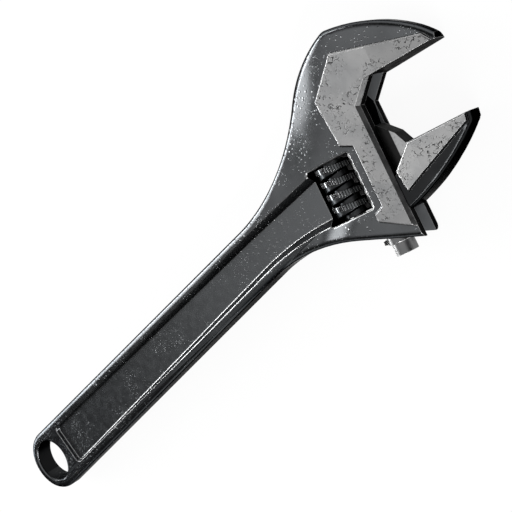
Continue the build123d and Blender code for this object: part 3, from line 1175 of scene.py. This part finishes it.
@dataclass
class Worm:
    """The adjusting screw: one rounded thread with fine ridges across its crest, all in millimetres.

    Attributes:
        centre: Place of the axis along the jaw faces, behind the throat.
        top: Depth of the upper end below the throat.
        length: Length of the screw.
        radius: Radius over the ridges.
        bore: Radius of the hole for the pin.
        pitch: Pitch of the thread.
        shift: Height of the screw's middle above a crest on the jaw side.
        depth: Depth of the thread.
        crest: Width of the crest.
        flank: Lean of the thread's sides, in degrees.
        corner: Rounding of the crest's corners.
        corner_steps: Angles of the points on that rounding, in degrees.
        bevel: Bevel of the two ends.
        ridge: Height of a ridge.
        ridge_width: Half width of a ridge.
        ridge_length: Length of a ridge.
        ridges: Ridges in one turn.
        steps: Mesh steps in one turn.
        end_gap: Least gap between a ring of the mesh and an end, in mesh steps.
        sharp: Angle past which an edge stays sharp, in degrees.
        head: Frame of the head.
    """

    centre: float = 22.3
    top: float = 18.8
    length: float = 20.7
    radius: float = 7.9
    bore: float = 2.46
    pitch: float = 4.85
    shift: float = 1.15
    depth: float = 2.7
    crest: float = 2.1
    flank: float = 12.0
    corner: float = 0.35
    corner_steps: Triple = (60.0, 30.0, 0.0)
    bevel: float = 0.3
    ridge: float = 0.34
    ridge_width: float = 0.30
    ridge_length: float = 1.9
    ridges: int = 50
    steps: int = 80
    end_gap: float = 0.2
    sharp: float = 40.0
    head: HeadFrame = field(default_factory=HeadFrame)

    @property
    def crest_radius(self) -> float:
        """Radius of the crest under its ridges."""
        return self.radius - self.ridge

    def place(self) -> Matrix:
        """Matrix from the screw's own frame, with its axis on Z, to the wrench's frame in metres.

        Returns:
            The matrix.
        """
        middle = self.head.point(-self.centre, -self.top - self.length / 2) * MM
        along, up = Vector(self.head.along), Vector(self.head.up)
        turn = Matrix((along, up.cross(along), up)).transposed().to_4x4()
        return Matrix.Translation(middle) @ turn @ Matrix.Scale(MM, 4)

    def profile(self) -> list[Pair]:
        """Radius against height across one turn of the thread.

        Returns:
            Pairs of height and radius, from one root to the next.
        """
        root = self.radius - self.depth
        lean = math.tan(math.radians(self.flank))
        foot = self.crest / 2 + (self.crest_radius - root) * lean
        corner = [(self.crest / 2 + self.corner * lean, self.crest_radius - self.corner)]
        for angle in self.corner_steps:
            inward = self.corner * (1 - math.sin(math.radians(angle)))
            drop = self.corner * (1 - math.cos(math.radians(angle)))
            corner.append((self.crest / 2 - inward, self.crest_radius - drop))
        left = [(-self.pitch / 2, root), (-foot, root)]
        left += [(-height, radius) for height, radius in corner]
        right = list(reversed(corner)) + [(foot, root), (self.pitch / 2, root)]
        return left + right

    def surface_radius(self, angle: float, height: float) -> float:
        """Radius of the thread's surface.

        Args:
            angle: Angle round the axis, in radians.
            height: Height from the screw's middle.

        Returns:
            The radius.
        """
        heights, radii = zip(*self.profile())
        climb = height + self.shift - self.pitch * angle / (2 * math.pi)
        offset = (climb + self.pitch / 2) % self.pitch - self.pitch / 2
        radius = float(np.interp(offset, heights, radii))
        return min(radius, self.crest_radius - self.bevel + self.length / 2 - abs(height))

    def screw_mesh(self) -> bpy.types.Mesh:
        """Thread surface closed by flat ends and the bore, in the screw's own frame.

        Returns:
            The mesh, in millimetres.
        """
        half = self.length / 2
        rise = self.pitch / self.steps
        first = math.ceil(-half / rise + self.end_gap)
        last = math.floor(half / rise - self.end_gap)
        heights = [-half, *(np.arange(first, last + 1) * rise), half]
        angles = [2 * math.pi * step / self.steps for step in range(self.steps)]
        rings = [[(self.surface_radius(angle, height), height) for angle in angles] for height in heights]
        rings += [[(self.bore, end)] * self.steps for end in (half, -half)]
        points = []
        for ring in rings:
            for angle, (radius, height) in zip(angles, ring):
                points.append((radius * math.cos(angle), radius * math.sin(angle), height))
        order = list(range(len(rings))) + [0]
        faces = []
        for low, high in zip(order, order[1:]):
            for step in range(self.steps):
                after = (step + 1) % self.steps
                corners = [low * self.steps + step, low * self.steps + after]
                corners += [high * self.steps + after, high * self.steps + step]
                faces.append((corners[0], corners[1], corners[2]))
                faces.append((corners[0], corners[2], corners[3]))
        mesh = bpy.data.meshes.new("worm_thread")
        mesh.from_pydata(points, [], faces)
        return mesh

    def ridge_sizes(self) -> dict[str, float]:
        """Sizes for the ridges' node tree.

        Returns:
            Values by input name.
        """
        rise = self.length - 2 * self.bevel - self.ridge_length
        start = -rise / 2
        return {
            "Count": round(self.ridges * rise / self.pitch) + 1,
            "Radius": self.crest_radius,
            "Turns": rise / self.pitch,
            "Rise": rise,
            "Start": start,
            "Turned": 2 * math.pi * (start + self.shift) / self.pitch,
            "Height": math.sqrt(self.radius**2 - self.ridge_width**2) - self.crest_radius,
            "Half width": self.ridge_width,
            "Length": self.ridge_length,
        }

    def build(self, finish: ForgedFinish, core: ForgedFinish) -> bpy.types.Object:
        """Builds the screw and its ridges as one piece.

        Args:
            finish: Finish of the ridges.
            core: Finish of the thread under them.

        Returns:
            The piece.
        """
        piece = bpy.data.objects.new("worm_knurled", self.screw_mesh())
        bpy.context.scene.collection.objects.link(piece)
        ridges = piece.modifiers.new("ridges", "NODES")
        ridges.node_group = RidgeTree().build()
        sizes = {**self.ridge_sizes(), "Finish": finish.material(), "Core": core.material()}
        for item in ridges.node_group.interface.items_tree:
            if item.name in sizes:
                ridges[item.identifier] = sizes[item.name]
        bpy.context.view_layer.update()
        evaluated = piece.evaluated_get(bpy.context.evaluated_depsgraph_get())
        mesh = bpy.data.meshes.new_from_object(evaluated)
        piece.modifiers.clear()
        piece.data = mesh
        mesh.transform(self.place())
        mesh.shade_smooth()
        mesh.set_sharp_from_angle(angle=math.radians(self.sharp))
        LOG.info("%s: %d faces", piece.name, len(mesh.polygons))
        return piece


@dataclass(frozen=True)
class Softbox:
    """One rectangular soft light.

    Attributes:
        name: Name of the light.
        place: Its middle, in metres.
        size: Its width and height, in metres.
        power: Its power, in watts.
    """

    name: str
    place: Triple
    size: Pair
    power: float

    def hang(self, target: Triple) -> None:
        """Hangs the light so that it faces a point.

        Args:
            target: The point, in metres.
        """
        light = bpy.data.lights.new(self.name, "AREA")
        light.shape = "RECTANGLE"
        light.size, light.size_y = self.size
        light.energy = self.power
        lamp = bpy.data.objects.new(self.name, light)
        lamp.location = self.place
        lamp.rotation_euler = (Vector(target) - Vector(self.place)).to_track_quat("-Z", "Y").to_euler()
        bpy.context.scene.collection.objects.link(lamp)


SOFTBOXES = (
    Softbox("left_panel", (-0.55, 0.59, 0.57), (0.5, 0.32), 3.2),
    Softbox("far_strip", (-0.75, 0.75, 0.28), (1.3, 0.30), 28.0),
    Softbox("crest_strip", (0.00, 1.10, 0.42), (0.7, 0.20), 4.0),
    Softbox("front_strip", (0.22, -0.78, 0.64), (0.8, 0.10), 7.0),
)


@dataclass(frozen=True)
class PhotoCamera:
    """Camera at the photograph's viewing angle, as fitted to the wrench's outline.

    Attributes:
        sensor: Width of the sensor, in millimetres.
        lens: Focal length, in millimetres.
        near: Nearest distance that it sees, in metres.
        right: Direction to the right of the picture.
        down: Direction down the picture.
        ahead: Direction that it looks in.
        origin: Place of the hanging hole to the right, down and ahead of it, in millimetres.
    """

    sensor: float = 36.0
    lens: float = 63.28
    near: float = 0.01
    right: Triple = (0.56892481, -0.60430181, -0.55780273)
    down: Triple = (-0.57064057, -0.77849464, 0.26137222)
    ahead: Triple = (-0.59219414, 0.16960373, -0.78774405)
    origin: Triple = (-98.7478, 100.5573, 451.2357)

    def build(self) -> None:
        """Places the camera and makes it the scene's own."""
        data = bpy.data.cameras.new("photo_camera")
        data.sensor_width = self.sensor
        data.lens = self.lens
        data.clip_start = self.near
        right, down, ahead = Vector(self.right), Vector(self.down), Vector(self.ahead)
        aside, below, away = self.origin
        place = -(right * aside + down * below + ahead * away) * MM
        turn = Matrix((right, -down, -ahead)).transposed().to_4x4()
        camera = bpy.data.objects.new("photo_camera", data)
        camera.matrix_world = Matrix.Translation(place) @ turn
        bpy.context.scene.collection.objects.link(camera)
        bpy.context.scene.camera = camera


@dataclass
class Studio:
    """Pale floor, soft lights and the room's own light.

    Attributes:
        floor_height: Height of the floor, in metres.
        floor_size: Side of the floor, in metres.
        floor_middle: Middle of the floor, in metres.
        floor_grey: Grey of the floor under the lights.
        floor_glow: Share of the floor that is plain white to the camera and in reflections.
        target: Point that the soft lights face, in metres.
        room_rise: Heights of a ray between which the room grows brighter.
        room_light: Light of the room below and above them.
        wall_rise: Heights of a ray between which the far wall's white fades in, going down.
    """

    floor_height: float = -0.00805
    floor_size: float = 40.0
    floor_middle: Pair = (0.15, 0.0)
    floor_grey: float = 0.86
    floor_glow: float = 0.93
    target: Triple = (0.18, 0.0, 0.0)
    room_rise: Pair = (0.63, 0.90)
    room_light: Pair = (0.04, 1.05)
    wall_rise: Pair = (0.13, 0.11)

    def floor(self) -> None:
        """Lays the pale floor, which keeps the wrench's shadow."""
        middle = (*self.floor_middle, self.floor_height)
        bpy.ops.mesh.primitive_plane_add(size=self.floor_size, location=middle)
        plane = bpy.context.object
        plane.name = "floor"
        material = bpy.data.materials.new("pale_floor")
        material.use_nodes = True
        nodes = Nodes(material.node_tree)
        nodes.tree.nodes.clear()
        rays = nodes.node("ShaderNodeLightPath", {}).outputs
        seen = nodes.plus(rays["Is Camera Ray"], rays["Is Glossy Ray"])
        seen = nodes.plus(seen, rays["Is Transmission Ray"])
        cloth = nodes.node("ShaderNodeBsdfDiffuse", {"Color": grey(self.floor_grey)}).outputs[0]
        glow = nodes.node("ShaderNodeEmission", {"Color": grey(1.0)}).outputs[0]
        parts = {0: nodes.times(seen, self.floor_glow), 1: cloth, 2: glow}
        mix = nodes.node("ShaderNodeMixShader", parts).outputs[0]
        nodes.node("ShaderNodeOutputMaterial", {"Surface": mix})
        plane.data.materials.append(material)

    def room(self) -> None:
        """Sets the room's own light: bright overhead, dim at the sides, white at the horizon."""
        world = bpy.data.worlds.new("room")
        world.use_nodes = True
        nodes = Nodes(world.node_tree)
        ray = nodes.node("ShaderNodeTexCoord", {}).outputs["Generated"]
        rise = nodes.node("ShaderNodeSeparateXYZ", {0: ray}).outputs["Z"]
        overhead = nodes.ramp(rise, *self.room_rise, *self.room_light)
        far_wall = nodes.ramp(rise, *self.wall_rise, 0.0, 1.0)
        light = {"Color": grey(1.0), "Strength": nodes.most(overhead, far_wall)}
        nodes.fill(nodes.tree.nodes["Background"], light)
        bpy.context.scene.world = world

    def build(self) -> None:
        """Lays the floor, lights the room and hangs the soft lights."""
        self.floor()
        self.room()
        for box in SOFTBOXES:
            box.hang(self.target)


def dress_small(frame: dict, node: str, finish: GroundFinish) -> None:
    """Gives a small steel node one finish.

    Args:
        frame: The loaded model.
        node: Name of the node.
        finish: Its finish.
    """
    target = frame["nodes"][node]
    target.data.materials.clear()
    target.data.materials.append(finish.material())
    LOG.info("%s: %s", node, finish.name)


def main() -> None:
    """Builds the wrench's looks piece by piece, then the studio."""
    logging.basicConfig(level=logging.INFO)
    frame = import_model()
    finishes = {
        Zone.FORGED: BLACK_FORGING,
        Zone.PANEL: PANEL_BLACK,
        Zone.GROUND: GROUND_LAND,
        Zone.BEVEL: BEVEL_STEEL_AND_PAINTED_HIGHLIGHT,
        Zone.LIP: LIP_STEEL,
        Zone.MOUTH: MOUTH_PAINTED_SHADE,
        Zone.BORE: BORE_PAINTED_SHADE,
        Zone.SLIDE: SLIDE_STEEL,
        Zone.GRIP: GRIP_PAINTED_SHADE,
        Zone.SLOT: SLOT_GREY,
        Zone.WEB: WEB_PAINTED_LIGHT_AND_SHADOW,
        Zone.WALL: PANEL_WALL_PAINTED_SHADE,
        Zone.THROAT: THROAT_PAINTED_SHADE,
    }
    palette = {zone: finish.material() for zone, finish in finishes.items()}
    Body("body").dress(frame, palette)
    # The movable jaw's own copies: darker forging as painted shade, lighter lands as painted light.
    own = {Zone.FORGED: JAW_BLACK_PAINTED_SHADE.material(), Zone.GROUND: JAW_LAND_PAINTED_LIGHT.material()}
    MovableJaw("movable_jaw").dress(frame, {**palette, **own})
    worm = Worm().build(WORM_BLACK, WORM_CORE_PAINTED_SHADE)
    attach(worm, "adjuster")
    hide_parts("worm")
    dress_small(frame, "worm_pin", TURNED_STEEL)
    dress_small(frame, "worm_spring", DRAWN_STEEL)
    Studio().build()
    PhotoCamera().build()
    bpy.context.scene.view_settings.view_transform = "Standard"


if __name__ == "__main__":
    main()
